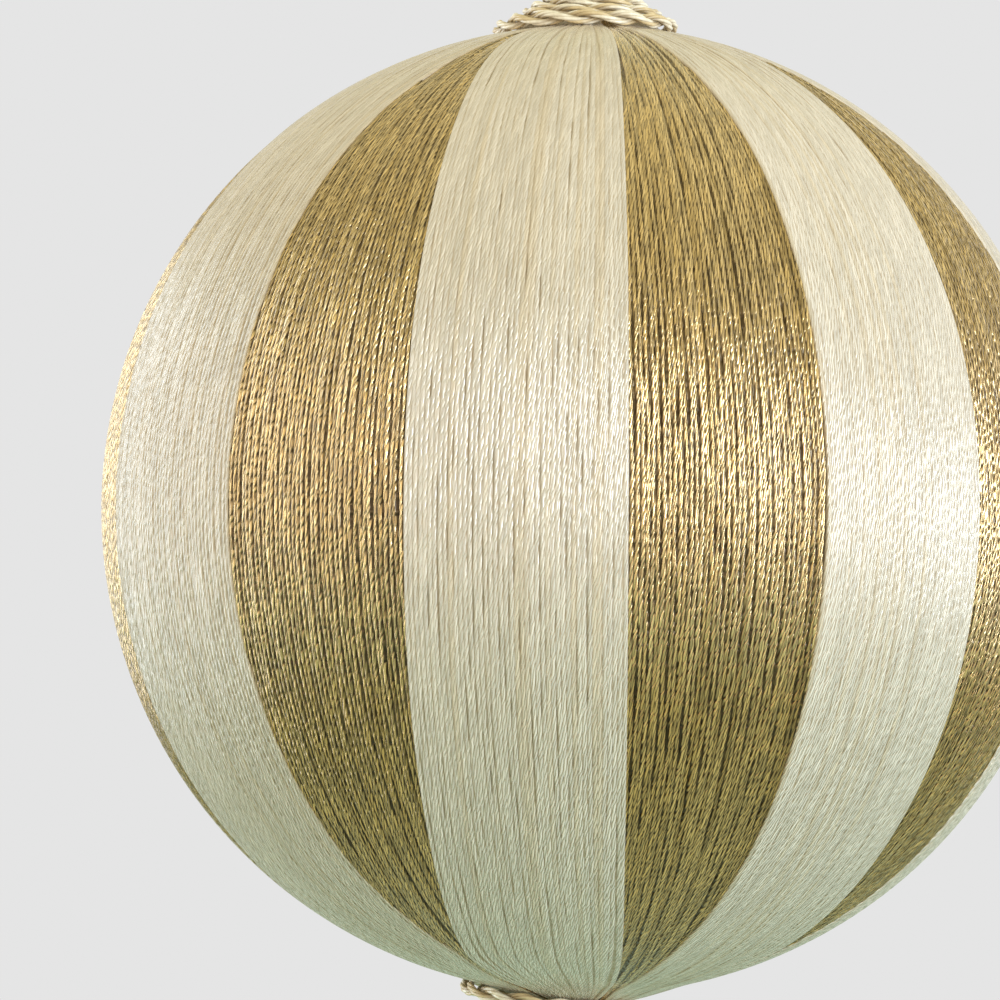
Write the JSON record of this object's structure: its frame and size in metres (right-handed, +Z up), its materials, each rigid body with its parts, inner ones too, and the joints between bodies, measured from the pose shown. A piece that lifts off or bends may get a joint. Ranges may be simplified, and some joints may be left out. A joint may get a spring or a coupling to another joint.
{
  "type": "silk bauble",
  "caption": "Round hanging bauble wound from pole to pole with lens-shaped bands of gold and ivory silk thread, with a coiled rope rosette on its top and its underside",
  "frame": {"origin": "the hanging point, at the top centre of the upper rope rosette", "axes": "+Z up along the axis through both rosettes, -Y the side the picture looks at, +X to the picture's right"},
  "size_m": [0.0798, 0.0799, 0.086],
  "materials": {
    "gold_silk": "glossy two-ply silk thread",
    "ivory_silk": "glossy two-ply silk thread",
    "rope": "twisted ivory and gold silk rope"
  },
  "bodies": {
    "root": {"silk_band_gold_1": "gold_silk", "silk_band_gold_2": "gold_silk", "silk_band_gold_3": "gold_silk", "silk_band_gold_4": "gold_silk", "silk_band_gold_5": "gold_silk", "silk_band_gold_6": "gold_silk", "silk_band_gold_7": "gold_silk", "silk_band_gold_8": "gold_silk", "silk_band_ivory_1": "ivory_silk", "silk_band_ivory_2": "ivory_silk", "silk_band_ivory_3": "ivory_silk", "silk_band_ivory_4": "ivory_silk", "silk_band_ivory_5": "ivory_silk", "silk_band_ivory_6": "ivory_silk", "silk_band_ivory_7": "ivory_silk", "silk_band_ivory_8": "ivory_silk", "top_rope_coil": "rope", "bottom_rope_coil": "rope"}
  },
  "joints": []
}
